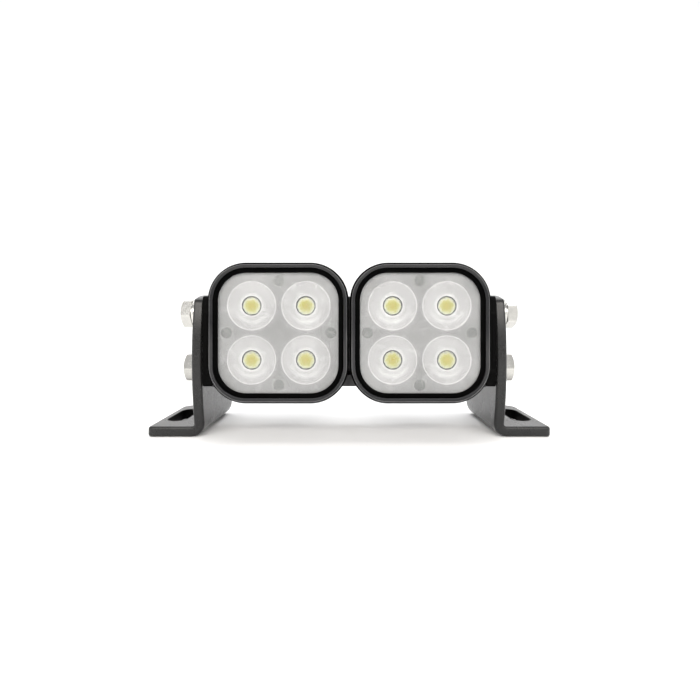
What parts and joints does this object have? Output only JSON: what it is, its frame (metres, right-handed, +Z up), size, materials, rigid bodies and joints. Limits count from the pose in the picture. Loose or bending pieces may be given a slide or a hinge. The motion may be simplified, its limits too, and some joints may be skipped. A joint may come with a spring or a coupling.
{
  "type": "LED fog light",
  "caption": "Twin square LED fog light with clear optic faces, black bezels and finned housings, tilting between two slotted L-shaped side brackets.",
  "frame": {"origin": "on the mounting surface, under the middle of the lamp's bounding box", "axes": "+X across the lamp to its right side seen from behind the camera, -Y the way the light shines, +Z up"},
  "size_m": [0.1944, 0.066, 0.0828],
  "materials": {
    "cast_black": "black powder coat over die-cast aluminium",
    "bezel_black": "satin black moulding",
    "bracket_black": "satin black powder coat on steel plate",
    "block_black": "black moulded spacer",
    "bolt_steel": "plain stainless steel",
    "screw_black": "black oxide steel",
    "clear_lens": "clear polycarbonate",
    "clear_optic": "moulded clear acrylic collimators",
    "silicone_black": "silicone gasket",
    "board_white": "white solder mask",
    "phosphor": "yellow phosphor under clear silicone",
    "board_green": "green solder mask",
    "moulding_black": "glass-filled black nylon",
    "vent_grey": "grey moulded cap"
  },
  "bodies": {
    "brackets": {"left_bracket": "bracket_black", "right_bracket": "bracket_black"},
    "lamp": {"left_housing": "cast_black", "left_bezel": "bezel_black", "left_lens": "clear_lens", "left_lens_gasket": "silicone_black", "left_optic": "clear_optic", "left_led_board": "board_white", "left_led_1": "phosphor", "left_led_2": "phosphor", "left_led_3": "phosphor", "left_led_4": "phosphor", "left_driver_board": "board_green", "left_rear_cover": "cast_black", "left_power_inlet": "moulding_black", "left_breather_vent": "vent_grey", "left_bezel_screw_1": "screw_black", "left_bezel_screw_2": "screw_black", "left_bezel_screw_3": "screw_black", "left_bezel_screw_4": "screw_black", "left_cover_screw_1": "screw_black", "left_cover_screw_2": "screw_black", "left_end_block": "block_black", "left_pivot_bolt": "bolt_steel", "left_pivot_lock_washer": "bolt_steel", "left_aim_bolt": "bolt_steel", "left_aim_lock_washer": "bolt_steel", "left_aim_flat_washer": "bolt_steel", "left_link_screw_1": "screw_black", "left_link_screw_2": "screw_black", "right_housing": "cast_black", "right_bezel": "bezel_black", "right_lens": "clear_lens", "right_lens_gasket": "silicone_black", "right_optic": "clear_optic", "right_led_board": "board_white", "right_led_1": "phosphor", "right_led_2": "phosphor", "right_led_3": "phosphor", "right_led_4": "phosphor", "right_driver_board": "board_green", "right_rear_cover": "cast_black", "right_power_inlet": "moulding_black", "right_breather_vent": "vent_grey", "right_bezel_screw_1": "screw_black", "right_bezel_screw_2": "screw_black", "right_bezel_screw_3": "screw_black", "right_bezel_screw_4": "screw_black", "right_cover_screw_1": "screw_black", "right_cover_screw_2": "screw_black", "right_end_block": "block_black", "right_pivot_bolt": "bolt_steel", "right_pivot_lock_washer": "bolt_steel", "right_aim_bolt": "bolt_steel", "right_aim_lock_washer": "bolt_steel", "right_aim_flat_washer": "bolt_steel", "right_link_screw_1": "screw_black", "right_link_screw_2": "screw_black", "link_block": "cast_black"}
  },
  "joints": [
    {"name": "tilt", "type": "hinge", "parent": "brackets", "child": "lamp", "pos_m": [0, -0.0083, 0.0323], "axis": [1, 0, 0], "range_deg": [-30, 12]}
  ]
}
